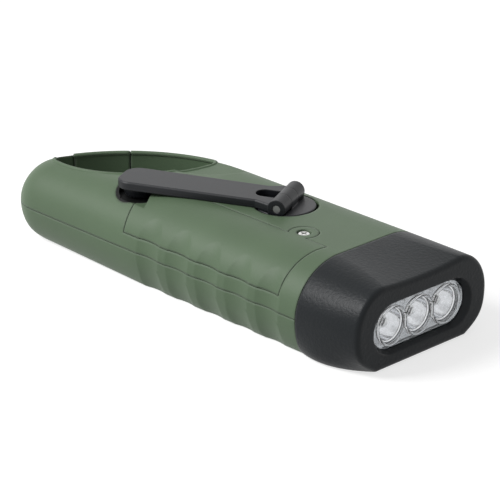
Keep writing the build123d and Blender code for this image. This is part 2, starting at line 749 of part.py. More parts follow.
def drive_gear():
    """First gear on the crank's shaft."""
    wheel = gear(HUB, DRIVE_MODULE, DRIVE_TEETH, IDLER_ANGLE, DRIVE_Z)
    wheel -= rod(*HUB, DRIVE_Z[1] - 0.7, DRIVE_Z[1], 11.6) - rod(*HUB, 0, 30, 5.2)
    return wheel + rod(*HUB, DRIVE_Z[0], DISC_TOP_Z - DISC_T, SHAFT_R)


def idler_gear():
    """Small and large gear in one piece on the idler axle."""
    pinion_tooth = IDLER_ANGLE + 180 + 180 / IDLER_PINION_TEETH
    pinion = gear(IDLER, DRIVE_MODULE, IDLER_PINION_TEETH, pinion_tooth, IDLER_PINION_Z)
    wheel = gear(IDLER, ROTOR_MODULE, IDLER_TEETH, ROTOR_ANGLE, IDLER_Z)
    return wheel + pinion - rod(*IDLER, 0, 30, AXLE_R + RUN_GAP)


def rotor_pinion():
    tooth = ROTOR_ANGLE + 180 + 180 / ROTOR_TEETH
    pinion = gear(ROTOR, ROTOR_MODULE, ROTOR_TEETH, tooth, ROTOR_PINION_Z)
    return pinion + rod(*ROTOR, FLOOR_Z - 0.8, ROTOR_PINION_Z[1] + 1.0, ROTOR_SHAFT_R)


def idler_axle():
    return rod(*IDLER, 4.0, PLATE_Z[1], AXLE_R)


def gear_plate():
    """Plate over the gears, notched round the case posts."""
    plate = block(-14.2, 33.2, -17.2, 19.2, *PLATE_Z)
    plate -= post_sites(SCREW_POSTS, 0, 30, SCREW_R + WALL + 0.1)
    plate -= rod(*HUB, 0, 30, SHAFT_R + RUN_GAP)
    return plate - rod(*IDLER, 0, 30, AXLE_R)


# ---------------------------------------------------------------- generator
def rotor_magnet():
    ring = rod(*ROTOR, FLOOR_Z + CAN_T + 0.5, CAN_TOP_Z - CAN_T - 0.5, MAGNET_R)
    return ring - rod(*ROTOR, 0, 30, ROTOR_SHAFT_R)


def stator_can():
    can = rod(*ROTOR, FLOOR_Z, CAN_TOP_Z, CAN_R)
    can -= rod(*ROTOR, FLOOR_Z + CAN_T, CAN_TOP_Z - CAN_T, CAN_R - CAN_T)
    return can - rod(*ROTOR, 0, 30, 1.6)


def stator_coil():
    low, high = FLOOR_Z + CAN_T + 0.3, CAN_TOP_Z - CAN_T - 0.3
    ring = rod(*ROTOR, low, high, CAN_R - CAN_T - 0.2)
    return ring - rod(*ROTOR, 0, 30, MAGNET_R + 0.6)


def rotor_bridge():
    """Strap over the can that holds the top of the rotor's shaft."""
    low = ROTOR_PINION_Z[1] + 0.25
    span = CAN_R - 1.2
    strap = block(-2.0, 2.0, -span - 1.2, span + 1.2, low, low + 0.7)
    for side in (-1, 1):
        strap += rod(0, side * span, CAN_TOP_Z, low + 0.3, 1.2)
    strap -= rod(0, 0, 0, 30, ROTOR_SHAFT_R + RUN_GAP)
    return Pos(*ROTOR, 0) * Rot(0, 0, ROTOR_ANGLE) * strap


# ---------------------------------------------------------------- electrics
def circuit_board():
    return block(*BOARD_X, -BOARD_HALF, BOARD_HALF, BOARD_Z, BOARD_Z + BOARD_T)


def switch_body():
    """Push switch hanging under the board, its plunger facing the button."""
    x, y = BUTTON
    case = block(x - 3.0, x + 3.0, y - 3.0, y + 3.0, BOARD_Z - 3.6, BOARD_Z)
    return case + rod(x, y, BOARD_Z - 4.4, BOARD_Z - 3.6, 1.6)


def button():
    """Rubber-faced push button under the body."""
    x, y = BUTTON
    face = rod(x, y, 0.3, FLOOR_Z + 0.1, BUTTON_R)
    face = fillet(face.edges().group_by(Axis.Z)[0], 0.4)
    flange = rod(x, y, FLOOR_Z + 0.1, FLOOR_Z + 1.0, BUTTON_R + 1.1)
    stem = rod(x, y, FLOOR_Z + 1.0, BOARD_Z - 4.4 - BUTTON_TRAVEL - 0.1, 1.4)
    return face + flange + stem


def button_bezel():
    ring = rod(*BUTTON, 0, FLOOR_Z, BEZEL_R) - rod(*BUTTON, -1, 5, BUTTON_R + 0.3)
    return ring


BATTERY_X = (BOARD_X[0] + BOARD_X[1]) / 2


def battery():
    """Stack of rechargeable cells lying across the body."""
    cells = Rot(90, 0, 0) * Cylinder(BATTERY_R, 2 * BATTERY_HALF)
    return Pos(BATTERY_X, 0, BATTERY_Z) * cells


def battery_cradle():
    base = BOARD_Z + BOARD_T
    half = BATTERY_HALF + 1.2
    tray = block(BATTERY_X - 4.6, BATTERY_X + 4.6, -half, half, base, BATTERY_Z - 1.5)
    room = Rot(90, 0, 0) * Cylinder(BATTERY_R, 2 * BATTERY_HALF)
    return tray - Pos(BATTERY_X, 0, BATTERY_Z) * room


def main():
    os.makedirs("parts", exist_ok=True)
    form = outer_form() - loop_hole() - ramp()
    form -= scallops()
    band = skin_band(WALL)
    ledge = outer_form(SEAM_DEPTH) & slab(PARTING_Z, PARTING_Z + SEAM)
    ledge -= [loop_hole(), *scallops()]
    grooved = (form & slab(PARTING_Z + SEAM, 40)) + ledge
    save(upper_shell(grooved, band), "upper_shell")
    save(lower_shell(form), "lower_shell")
    save(side_cover(form, band), "side_cover")
    save(knob_well(form), "knob_well")
    save(gate(form), "gate")
    pieces = (cover_screw, shell_screws, head_cap, reflector, lens, leds, led_board)
    pieces += (gate_pin, gate_spring, hub_collar, crank_disc, hinge_pin, crank_arm)
    pieces += (knob_pin, knob, drive_gear, idler_gear, idler_axle, rotor_pinion)
    pieces += (gear_plate, rotor_magnet, stator_can, stator_coil, rotor_bridge)
    pieces += (circuit_board, switch_body, button, button_bezel, battery, battery_cradle)
    for piece in pieces:
        save(piece(), piece.__name__)


main()
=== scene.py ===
import bpy
import bmesh
import json
import math
from mathutils import Matrix, Vector


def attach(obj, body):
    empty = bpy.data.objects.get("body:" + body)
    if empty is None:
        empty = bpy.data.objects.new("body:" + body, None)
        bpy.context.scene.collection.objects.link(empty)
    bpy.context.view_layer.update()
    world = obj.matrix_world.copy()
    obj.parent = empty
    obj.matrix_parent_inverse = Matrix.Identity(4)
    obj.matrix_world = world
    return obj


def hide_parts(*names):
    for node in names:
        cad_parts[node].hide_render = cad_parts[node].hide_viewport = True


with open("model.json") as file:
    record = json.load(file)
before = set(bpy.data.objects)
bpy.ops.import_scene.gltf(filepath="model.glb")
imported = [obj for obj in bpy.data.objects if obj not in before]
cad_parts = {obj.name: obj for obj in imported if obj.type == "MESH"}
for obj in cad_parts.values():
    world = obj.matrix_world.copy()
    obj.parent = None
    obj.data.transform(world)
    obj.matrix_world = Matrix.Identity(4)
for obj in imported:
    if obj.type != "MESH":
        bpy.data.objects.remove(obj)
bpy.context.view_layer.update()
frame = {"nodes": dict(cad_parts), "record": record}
NODES = frame["nodes"]
MM = 0.001
BODY = "torch_body"

# Places on the part, in millimetres, as its source has them
LAMP_AXIS_Z = 10.4
LAMP_PITCH = 9.81
LAMP_FOOT_X = 58.45
LENS_FRONT_X = 66.05
CUP_FRONT_X = 64.85
CUP_RIM_R = 4.55
WINDOW_HALF_Y = 16.7
WINDOW_HALF_Z = 6.0
HUB = Vector((13.95, 4.8, 0.0))
ARM_TURN = math.radians(205.5)
ARM_LOW_Z = 23.95
FOLD_Z = 25.1
KNUCKLE_R = 2.5
LUG_HALF = 2.44
GATE_PIN = Vector((-61.75, -7.113, 0.0))
GATE_REACH = 18.119
LOOP_MIDDLE = Vector((-40.0, 4.0, 0.0))
KNOB = Vector((-23.69, -13.15, 0.0))

# Sizes of the pieces made here, in millimetres
LAMP_COUNT = 3
PANE_BACK_X = 64.92
ARM_GROOVE_SHADE = (0.62, 0.84)  # heights of a dark band of painted shade, standing in for a groove along the arm, above its low side
WASHER_WIRE = 0.16
WASHER_DROP = 0.17  # keeps the washers under the crown of the knuckles
LIP_WIRE = 0.62
LIP_PITCH = 0.6
LIP_SINK = 0.3  # how far the lip's middle lies inside the wall, and below its top
LIP_SHARP = 0.6  # least angle between the two faces of its edge, in radians
LIP_LOW_Z = 14
LIP_TAIL_X, LIP_NOSE_X = -64, -17
LIP_KNOB_GAP = 7.5
LIP_PIN_GAP = {"upper_shell": 6.0, "gate": 3.9}
# Thickness and fit of the dark piece put as painted shade in the gate's gap.
GAP_SHADE_THICK = 0.31
GAP_SHADE_FIT = 0.03
JOIN_GAP = 0.002
WINDOW_POINTS = 48
RING_STEPS = 72
RING_SIDES = 14
LIP_SIDES = 16

# The photograph's width and the camera's sensor
PHOTO_PX = 500
SENSOR_MM = 36.0


# ---------------------------------------------------------------- camera
def place_camera():
    """Long lens from the head end, looking down along the near flank."""
    # Fitted to the photograph, where the aim is seen at aim_px; metres and pixels
    azimuth, elevation, roll = (math.radians(v) for v in (46.057, 22.643, 0.101))
    focal_px, distance = 2590.24, 0.6905
    aim, aim_px = Vector((0.75, 0.0, 13.0)) * MM, (238.194, 233.133)
    back = Vector(
        (
            math.sin(azimuth) * math.cos(elevation),
            -math.cos(azimuth) * math.cos(elevation),
            math.sin(elevation),
        )
    )
    level = Vector((math.cos(azimuth), math.sin(azimuth), 0.0))
    rise = back.cross(level)
    right = level * math.cos(roll) + rise * math.sin(roll)
    up = rise * math.cos(roll) - level * math.sin(roll)
    across = (aim_px[0] - PHOTO_PX / 2) / focal_px * distance
    upward = -(aim_px[1] - PHOTO_PX / 2) / focal_px * distance
    place = aim - right * across - up * upward + back * distance
    data = bpy.data.cameras.new("photo_camera")
    data.sensor_width = SENSOR_MM
    data.lens = focal_px / PHOTO_PX * SENSOR_MM
    data.clip_start, data.clip_end = 0.05, 20.0
    camera = bpy.data.objects.new("photo_camera", data)
    turn = Matrix((right, up, back)).transposed().to_4x4()
    camera.matrix_world = Matrix.Translation(place) @ turn
    bpy.context.scene.collection.objects.link(camera)
    bpy.context.scene.camera = camera


# ---------------------------------------------------------------- materials
class Graph:
    """A material's node tree, with short calls for the nodes used here."""

    def __init__(self, name):
        self.material = bpy.data.materials.new(name)
        self.material.use_nodes = True
        self.tree = self.material.node_tree
        self.shader = self.tree.nodes["Principled BSDF"]
        self.place = self.tree.nodes.new("ShaderNodeTexCoord").outputs["Object"]

    def link(self, source, target):
        self.tree.links.new(source, target)

    def noise(self, scale, detail=2.0, rough=0.5):
        """Soft noise over the piece, with this many waves to a metre."""
        node = self.tree.nodes.new("ShaderNodeTexNoise")
        node.inputs["Scale"].default_value = scale
        node.inputs["Detail"].default_value = detail
        node.inputs["Roughness"].default_value = rough
        self.link(self.place, node.inputs["Vector"])
        return node.outputs["Fac"]

    def cells(self, scale):
        """Distance to the nearest of scattered points, this many to a metre."""
        node = self.tree.nodes.new("ShaderNodeTexVoronoi")
        node.inputs["Scale"].default_value = scale
        self.link(self.place, node.inputs["Vector"])
        return node.outputs["Distance"]

    def along(self, axis):
        """Place along one axis of the part, in metres."""
        node = self.tree.nodes.new("ShaderNodeSeparateXYZ")
        self.link(self.place, node.inputs["Vector"])
        return node.outputs[axis]

    def ramp(self, value, stops):
        """Colour that runs from one stop to another, each a position and a colour."""
        node = self.tree.nodes.new("ShaderNodeValToRGB")
        for element, (position, colour) in zip(node.color_ramp.elements, stops):
            element.position = position
            element.color = (*colour, 1.0)
        self.link(value, node.inputs["Fac"])
        return node.outputs["Color"]

    def spread(self, value, low, high, start=0.0, end=1.0):
        """Value stretched from start..end to low..high."""
        node = self.tree.nodes.new("ShaderNodeMapRange")
        node.inputs["From Min"].default_value = start
        node.inputs["From Max"].default_value = end
        node.inputs["To Min"].default_value = low
        node.inputs["To Max"].default_value = high
        self.link(value, node.inputs["Value"])
        return node.outputs["Result"]

    def combine(self, first, second, way):
        """Two values put together by a Math node's operation."""
        node = self.tree.nodes.new("ShaderNodeMath")
        node.operation = way
        self.link(first, node.inputs[0])
        self.link(second, node.inputs[1])
        return node.outputs[0]

    def blend(self, share, tone, colour):
        """Tone that turns into one plain colour where the share is 1."""
        node = self.tree.nodes.new("ShaderNodeMix")
        node.data_type = "RGBA"
        self.link(share, node.inputs["Factor"])
        self.link(tone, node.inputs[6])
        node.inputs[7].default_value = (*colour, 1.0)
        return node.outputs[2]

    def rounded(self, radius):
        """Normal with every sharp edge eased over the given radius."""
        node = self.tree.nodes.new("ShaderNodeBevel")
        node.samples = 6
        node.inputs["Radius"].default_value = radius
        return node.outputs["Normal"]

    def edges(self, eased):
        """Near 1 on edges, near 0 on open faces, by how far the normal was eased."""
        dot = self.tree.nodes.new("ShaderNodeVectorMath")
        dot.operation = "DOT_PRODUCT"
        true = self.tree.nodes.new("ShaderNodeNewGeometry").outputs["Normal"]
        self.link(eased, dot.inputs[0])
        self.link(true, dot.inputs[1])
        return self.spread(dot.outputs["Value"], 1.0, 0.0, start=0.86, end=0.995)

    def bump(self, height, strength, depth, under=None):
        """Relief of the surface, depth in metres, over a normal that was eased."""
        node = self.tree.nodes.new("ShaderNodeBump")
        node.inputs["Strength"].default_value = strength
        node.inputs["Distance"].default_value = depth
        self.link(height, node.inputs["Height"])
        if under:
            self.link(under, node.inputs["Normal"])
        self.link(node.outputs["Normal"], self.shader.inputs["Normal"])

    def set(self, **values):
        """Fixed settings of the shader."""
        for name, value in values.items():
            self.shader.inputs[name.replace("_", " ")].default_value = value


def linear(*srgb):
    """Scene colour of a colour given in the usual 0 to 255 steps."""
    return tuple(
        v / 255 / 12.92 if v <= 10 else ((v / 255 + 0.055) / 1.055) ** 2.4 for v in srgb
    )


def shade(colour, factor):
    """Colour made lighter or darker."""
    return tuple(min(1.0, c * factor) for c in colour)


def moulded_plastic(
    name, colour, rough, grain, depth, ease=0.0, worn=0.25, gloss=0.4, line=None
):
    """Injection-moulded plastic: spark-eroded grain, faint mottle, rubbed edges.

    ease is the radius of its edges, and line the two heights of a dark band of painted
    shade that stands in for a groove.
    """
    g = Graph(name)
    cloud = g.noise(60.0, detail=3.0)
    tone = g.ramp(cloud, [(0.3, shade(colour, 0.95)), (0.7, shade(colour, 1.05))])
    fine = g.noise(grain, detail=3.0, rough=0.6)
    dull = g.spread(fine, rough - 0.06, rough + 0.06)
    eased = None
    # Painted shade: a dark band between two heights, in place of the shade in a groove.
    if line:
        (low, high), fade = line, 0.00006
        level = g.along("Z")
        above = g.spread(level, 0.0, 1.0, low, low + fade)
        below = g.spread(level, 1.0, 0.0, high - fade, high)
        groove_shade = g.combine(above, below, "MULTIPLY")
        tone = g.blend(groove_shade, tone, shade(colour, 0.25))
    if ease:
        eased = g.rounded(ease)
        patchy = g.spread(g.noise(350.0, detail=4.0), 0.1, worn * 2)
        rubbed = g.combine(g.edges(eased), patchy, "MULTIPLY")
        bared = tuple(c * 0.6 + 0.16 for c in colour)
        tone = g.blend(rubbed, tone, bared)
    g.link(tone, g.shader.inputs["Base Color"])
    g.link(dull, g.shader.inputs["Roughness"])
    g.bump(fine, strength=0.35, depth=depth, under=eased)
    g.set(Specular_IOR_Level=gloss)
    return g.material


def metal(name, colour, rough, scratch):
    """Turned or drawn metal with fine scratches."""
    g = Graph(name)
    tones = [(0.35, shade(colour, 0.9)), (0.65, colour)]
    g.link(g.ramp(g.noise(400.0, detail=4.0), tones), g.shader.inputs["Base Color"])
    fine = g.noise(scratch, detail=5.0, rough=0.7)
    g.link(g.spread(fine, rough * 0.6, rough * 1.4), g.shader.inputs["Roughness"])
    g.bump(fine, strength=0.1, depth=0.00002)
    g.set(Metallic=1.0)
    return g.material


def plated_cups():
    """Bright plating: mirror in the cups, satin on the face between them."""
    g = Graph("plated_cup_chrome")
    face_low, face_high = (CUP_FRONT_X - 0.04) * MM, (CUP_FRONT_X - 0.01) * MM
    face = g.spread(g.along("X"), 0.0, 1.0, face_low, face_high)
    fine = g.noise(1500.0, detail=4.0, rough=0.6)
    tone = g.ramp(fine, [(0.3, linear(226, 228, 230)), (0.7, linear(240, 241, 243))])
    tone = g.blend(face, tone, linear(172, 176, 180))
    g.link(tone, g.shader.inputs["Base Color"])
    mirror, satin = g.spread(fine, 0.06, 0.14), g.spread(face, 0.0, 0.16)
    g.link(g.combine(mirror, satin, "ADD"), g.shader.inputs["Roughness"])
    g.bump(fine, strength=0.08, depth=0.00002)
    g.set(Metallic=1.0)
    return g.material


def clear_plastic(name, colour, rough):
    """Clear moulding that bends the view of what is behind it only a little."""
    g = Graph(name)
    tones = [(0.2, shade(colour, 0.97)), (0.8, colour)]
    g.link(g.ramp(g.noise(90.0), tones), g.shader.inputs["Base Color"])
    g.link(g.spread(g.noise(900.0), rough * 0.5, rough * 1.5), g.shader.inputs["Roughness"])
    g.set(Transmission_Weight=1.0, IOR=1.3)
    return g.material


def rubber(name, colour):
    """Dull rubber with a fine pebbled skin."""
    g = Graph(name)
    tones = [(0.3, shade(colour, 0.8)), (0.7, shade(colour, 1.2))]
    g.link(g.ramp(g.noise(120.0, detail=4.0), tones), g.shader.inputs["Base Color"])
    g.bump(g.cells(2200.0), strength=0.3, depth=0.00006)
    g.set(Roughness=0.75)
    return g.material


def lacquered_board(name, colour):
    """Lacquer over tracks that show as paler spots."""
    g = Graph(name)
    tracks = g.cells(420.0)
    tones = [(0.25, shade(colour, 1.5)), (0.32, colour)]
    g.link(g.ramp(tracks, tones), g.shader.inputs["Base Color"])
    g.bump(tracks, strength=0.2, depth=0.00003)
    g.set(Roughness=0.3)
    return g.material


CRANK_COLOUR = linear(24, 26, 30)
CRANK_MOULDING = dict(grain=3000.0, depth=0.00004, ease=0.0004, worn=0.1, gloss=0.3)


def build_finishes():
    """One finish for each material slot of the frame."""
    return {
        "body_green": moulded_plastic(
            "green_shell_plastic", linear(91, 110, 86), 0.47,
            grain=2200.0, depth=0.00011, ease=0.0009, gloss=0.25,
        ),
        "cap_black": moulded_plastic(
            "black_cap_plastic", linear(24, 28, 31), 0.4,
            grain=1150.0, depth=0.00026, ease=0.0008, worn=0.06, gloss=0.19,
        ),
        "crank_black": moulded_plastic(
            "black_crank_plastic", CRANK_COLOUR, 0.38, **CRANK_MOULDING
        ),
        "inner_black": moulded_plastic(
            "black_lining_plastic", linear(9, 10, 10), 0.6,
            grain=2600.0, depth=0.00004, gloss=0.2,
        ),
        "steel": metal("screw_steel", linear(206, 206, 204), 0.25, scratch=3000.0),
        "spring_steel": metal(
            "spring_wire_steel", linear(165, 165, 170), 0.3, scratch=2500.0
        ),
        "chrome": plated_cups(),
        "clear": clear_plastic("clear_window_plastic", (1.0, 1.0, 1.0), 0.03),
        "led_epoxy": clear_plastic("lamp_dome_epoxy", (0.98, 0.99, 0.96), 0.08),
        "board_green": lacquered_board("circuit_board_lacquer", linear(28, 92, 52)),
        "gear_white": moulded_plastic(
            "natural_gear_plastic", linear(222, 220, 210), 0.45, grain=1800.0, depth=0.00003
        ),
        "copper": metal("winding_copper", linear(196, 112, 66), 0.3, scratch=4000.0),
        "magnet": moulded_plastic(
            "sintered_magnet", linear(66, 66, 70), 0.55, grain=3500.0, depth=0.00003
        ),
        "cell_wrap": moulded_plastic(
            "battery_sleeve", linear(52, 98, 62), 0.35, grain=900.0, depth=0.00002
        ),
        "button_rubber": rubber("push_button_rubber", linear(26, 26, 27)),
    }


def dress_nodes(finishes):
    """Each node gets its slot's finish, apart from two with a finish of their own."""
    slots = {entry["node"]: entry["material_slot"] for entry in frame["record"]["subparts"]}
    # Heights of the painted shade of a groove along the arm's side.
    groove_shade = tuple((ARM_LOW_Z + height) * MM for height in ARM_GROOVE_SHADE)
    special = {
        "crank_arm": moulded_plastic(
            "black_arm_plastic", CRANK_COLOUR, 0.4, **CRANK_MOULDING, line=groove_shade
        ),
        "hinge_pin": metal("fold_pin_steel", linear(150, 150, 150), 0.5, scratch=3000.0),
    }
    for name, node in NODES.items():
        for place in node.material_slots:
            place.material = special.get(name, finishes[slots[name]])


# ---------------------------------------------------------------- repeated pieces
class Recipe:
    """A geometry tree with named inputs for its sizes."""

    def __init__(self, name):
        self.tree = bpy.data.node_groups.new(name, "GeometryNodeTree")
        self.tree.interface.new_socket(
            "Geometry", in_out="OUTPUT", socket_type="NodeSocketGeometry"
        )
        self.given = self.tree.nodes.new("NodeGroupInput")
        self.result = self.tree.nodes.new("NodeGroupOutput")

    def size(self, name, kind="Float"):
        """New named input of the tree."""
        socket_type = "NodeSocket" + kind
        self.tree.interface.new_socket(name, in_out="INPUT", socket_type=socket_type)
        return self.given.outputs[name]

    def node(self, kind, **inputs):
        """New node whose inputs are linked to a socket or set to a value."""
        made = self.tree.nodes.new(kind)
        for name, value in inputs.items():
            socket = made.inputs[name.replace("_", " ")]
            if isinstance(value, bpy.types.NodeSocket):
                self.tree.links.new(value, socket)
            else:
                socket.default_value = value
        return made

    def row(self, shape, material):
        """Equal copies of a shape in a straight row."""
        count = self.size("Count", "Int")
        start, step, turn = (self.size(n, "Vector") for n in ("Start", "Step", "Turn"))
        line = self.node(
            "GeometryNodeMeshLine", Count=count, Start_Location=start, Offset=step
        )
        rotation = self.node("FunctionNodeEulerToRotation", Euler=turn)
        copies = self.node(
            "GeometryNodeInstanceOnPoints",
            Points=line.outputs[0],
            Instance=shape,
            Rotation=rotation.outputs[0],
        )
        return self.end(copies.outputs[0], material)

    def end(self, geometry, material):
        """The finished tree, with real geometry and its material as the result."""
        solid = self.node("GeometryNodeRealizeInstances", Geometry=geometry)
        painted = self.node(
            "GeometryNodeSetMaterial", Geometry=solid.outputs[0], Material=material
        )
        self.tree.links.new(painted.outputs[0], self.result.inputs[0])
        return self.tree


def grow(name, tree, values, body, seed=None):
    """Plain mesh of a geometry tree with the given sizes, riding on a body."""
    piece = bpy.data.objects.new(name, seed or bpy.data.meshes.new(name + "_seed"))
    bpy.context.scene.collection.objects.link(piece)
    maker = piece.modifiers.new("sizes", "NODES")
    maker.node_group = tree
    keys = {s.name: s.identifier for s in tree.interface.items_tree if s.in_out == "INPUT"}
    for key, value in values.items():
        maker[keys[key]] = value
    graph = bpy.context.evaluated_depsgraph_get()
    mesh = bpy.data.meshes.new_from_object(piece.evaluated_get(graph))
    piece.modifiers.clear()
    piece.data = mesh
    mesh.name = name
    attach(piece, body)


def ring_row(name, material):
    """Equal round rings in a straight row."""
    r = Recipe(name)
    ring, wire = r.size("Ring radius"), r.size("Wire radius")
    path = r.node("GeometryNodeCurvePrimitiveCircle", Resolution=RING_STEPS, Radius=ring)
    section = r.node("GeometryNodeCurvePrimitiveCircle", Resolution=RING_SIDES, Radius=wire)
    tube = r.node(
        "GeometryNodeCurveToMesh", Curve=path.outputs[0], Profile_Curve=section.outputs[0]
    )
    return r.row(tube.outputs[0], material)


def lamp_row(x):
    """Sizes of a row with one copy for each lamp, facing forwards at x."""
    return {
        "Count": LAMP_COUNT,
        "Start": (x * MM, -LAMP_PITCH * MM, LAMP_AXIS_Z * MM),
        "Step": (0.0, LAMP_PITCH * MM, 0.0),
        "Turn": (0.0, math.pi / 2, 0.0),
    }


def lamp_rings(finishes):
    """Rims of the plated cups, dark rings round them as painted shade, and the lens's
    collars.
    """
    rows = (
        # piece, finish, ring's radius, wire's radius, x of the row
        ("cup_rims", "chrome", CUP_RIM_R - 0.12, 0.22, CUP_FRONT_X - 0.26),
        # Dark rings round the cups, put there as painted shade of the gaps round them.
        ("cup_shade_rings", "inner_black", CUP_RIM_R + 0.26, 0.2, CUP_FRONT_X - 0.14),
        ("lens_collars", "clear", CUP_RIM_R + 0.45, 0.42, LENS_FRONT_X + 0.12),
    )
    for name, slot, radius, wire, x in rows:
        values = {**lamp_row(x), "Ring radius": radius * MM, "Wire radius": wire * MM}
        grow(name, ring_row(name + "_recipe", finishes[slot]), values, BODY)


def lamp_frames(finishes):
    """Lead frames of the lamps: a cup on its post and a slimmer post beside it."""
    post_r, pin_r, pin_aside = 0.3 * MM, 0.18 * MM, 0.85 * MM
    cup_deep, cup_foot_r, cup_height = 0.5 * MM, 0.25 * MM, 1.4 * MM
    r = Recipe("lamp_frame_recipe")
    tall, cup = r.size("Post height"), r.size("Cup radius")
    post = r.node("GeometryNodeMeshCylinder", Vertices=16, Radius=post_r, Depth=tall)
    bowl = r.node(
        "GeometryNodeMeshCone",
        Vertices=24,
        Depth=cup_deep,
        Radius_Bottom=cup_foot_r,
        Radius_Top=cup,
    )
    raised = r.node(
        "GeometryNodeTransform", Geometry=bowl.outputs[0], Translation=(0, 0, cup_height)
    )
    pin = r.node("GeometryNodeMeshCylinder", Vertices=12, Radius=pin_r, Depth=tall)
    beside = r.node(
        "GeometryNodeTransform", Geometry=pin.outputs[0], Translation=(pin_aside, 0, 0)
    )
    whole = r.tree.nodes.new("GeometryNodeJoinGeometry")
    for part in (post, raised, beside):
        r.tree.links.new(part.outputs[0], whole.inputs[0])
    tree = r.row(whole.outputs[0], finishes["spring_steel"])
    values = {
        **lamp_row(LAMP_FOOT_X + 1.3),
        "Post height": 2.4 * MM,
        "Cup radius": 0.75 * MM,
    }
    grow("lamp_frames", tree, values, BODY)


def fold_washers(finishes):
    """Dark rings in the joints between the fork's knuckles and the lug."""
    axis = Vector((-math.sin(ARM_TURN), math.cos(ARM_TURN), 0.0))
    start = (HUB - axis * LUG_HALF + Vector((0, 0, FOLD_Z))) * MM
    values = {
        "Count": 2,
        "Start": tuple(start),
        "Step": tuple(axis * 2 * LUG_HALF * MM),
        "Turn": (math.pi / 2, 0.0, ARM_TURN),
        "Ring radius": (KNUCKLE_R - WASHER_DROP) * MM,
        "Wire radius": WASHER_WIRE * MM,
    }
    tree = ring_row("fold_washer_recipe", finishes["inner_black"])
    grow("fold_washers", tree, values, "crank")


def lip_recipe(name, material):
    """Round bead that follows the edges it is given."""
    r = Recipe(name)
    edges, wire, pitch = r.size("Edges", "Geometry"), r.size("Wire radius"), r.size("Pitch")
    path = r.node("GeometryNodeMeshToCurve", Mesh=edges)
    even = r.node("GeometryNodeResampleCurve", Curve=path.outputs[0])
    even.mode = "LENGTH"
    r.tree.links.new(pitch, even.inputs["Length"])
    section = r.node("GeometryNodeCurvePrimitiveCircle", Resolution=LIP_SIDES, Radius=wire)
    tube = r.node(
        "GeometryNodeCurveToMesh",
        Curve=even.outputs[0],
        Profile_Curve=section.outputs[0],
        Fill_Caps=True,
    )
    return r.end(tube.outputs[0], material)


# ---------------------------------------------------------------- modelled pieces
def finish_mesh(name, bm, material, body):
    """Piece made of a finished mesh, riding on a body."""
    mesh = bpy.data.meshes.new(name)
    bmesh.ops.recalc_face_normals(bm, faces=bm.faces)
    bm.to_mesh(mesh)
    bm.free()
    mesh.materials.append(material)
    piece = bpy.data.objects.new(name, mesh)
    bpy.context.scene.collection.objects.link(piece)
    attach(piece, body)
    return piece


def window_outline(inset):
    """Round-ended outline of the window, as y and z, drawn in by an inset."""
    radius, straight = WINDOW_HALF_Z - inset, WINDOW_HALF_Y - WINDOW_HALF_Z
    points = []
    for k in range(WINDOW_POINTS):
        turn = 2 * math.pi * (k + 0.5) / WINDOW_POINTS
        side = straight if math.cos(turn) > 0 else -straight
        y, z = side + radius * math.cos(turn), LAMP_AXIS_Z + radius * math.sin(turn)
        points.append((y, z))
    return points


def clear_window(finishes):
    """Clear pane with a softened rim, just clear of the plated block behind it."""
    bm = bmesh.new()
    # x of each ring of points, and how far it is drawn in from the opening
    levels = ((PANE_BACK_X, 0.06), (65.6, 0.06), (65.9, 0.14), (LENS_FRONT_X, 0.45))
    rings = []
    for x, inset in levels:
        outline = window_outline(inset)
        rings.append([bm.verts.new((x * MM, y * MM, z * MM)) for y, z in outline])
    for low, high in zip(rings, rings[1:]):
        for k in range(len(low)):
            n = (k + 1) % len(low)
            bm.faces.new((low[k], low[n], high[n], high[k]))
    bm.faces.new(rings[0])
    bm.faces.new(rings[-1])
    pane = finish_mesh("clear_window", bm, finishes["clear"], BODY)
    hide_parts("lens")


def joined_copy(node):
    """The node's triangles with their shared corners joined and numbered."""
    bm = bmesh.new()
    bm.from_mesh(NODES[node].data)
    bmesh.ops.remove_doubles(bm, verts=bm.verts, dist=JOIN_GAP * MM)
    bm.verts.index_update()
    return bm


def opening_wall(edge, pin_gap):
    """Normal of the wall under an upper edge of the loop's opening, or None."""
    if len(edge.link_faces) != 2 or edge.calc_face_angle(0.0) < LIP_SHARP:
        return None
    middle = (edge.verts[0].co + edge.verts[1].co) / 2 / MM
    flat = Vector((middle.x, middle.y, 0.0))
    if middle.z < LIP_LOW_Z or middle.x > LIP_NOSE_X or middle.x < LIP_TAIL_X:
        return None
    if (flat - KNOB).length < LIP_KNOB_GAP or (flat - GATE_PIN).length < pin_gap:
        return None
    wall, top = (f.normal for f in sorted(edge.link_faces, key=lambda f: abs(f.normal.z)))
    inward = (LOOP_MIDDLE - flat).normalized()
    steep, level, facing = abs(wall.z) <= 0.4, top.z >= 0.5, wall.dot(inward) >= 0.25
    return wall.copy() if steep and level and facing else None


def bare_edges(name, edges, places):
    """Mesh of edges alone, with the place of each corner given by its number."""
    points, order = [], {}
    for edge in edges:
        for vert in edge.verts:
            if vert.index not in order:
                order[vert.index] = len(points)
                points.append(places[vert.index])
    mesh = bpy.data.meshes.new(name)
    mesh.from_pydata(points, [[order[v.index] for v in e.verts] for e in edges], [])
    return mesh


def loop_rim(node, body, finishes):
    """Soft rolled lip on the upper edge of the loop's opening."""
    bm = joined_copy(node)
    chosen, corners = [], {}
    for edge in bm.edges:
        wall = opening_wall(edge, LIP_PIN_GAP[node])
        if wall is None:
            continue
        chosen.append(edge)
        for vert in edge.verts:
            corners.setdefault(vert.index, (vert.co.copy(), []))[1].append(wall)
    places, down = {}, Vector((0, 0, LIP_SINK * MM))
    for index, (corner, walls) in corners.items():
        out = sum(walls, Vector()).normalized()
        places[index] = corner - out * LIP_SINK * MM - down
    seed = bare_edges(node + "_rim_seed", chosen, places)
    bm.free()
    tree = lip_recipe(node + "_rim_recipe", finishes["body_green"])
    values = {"Wire radius": LIP_WIRE * MM, "Pitch": LIP_PITCH * MM}
    grow(node + "_rim", tree, values, body, seed)


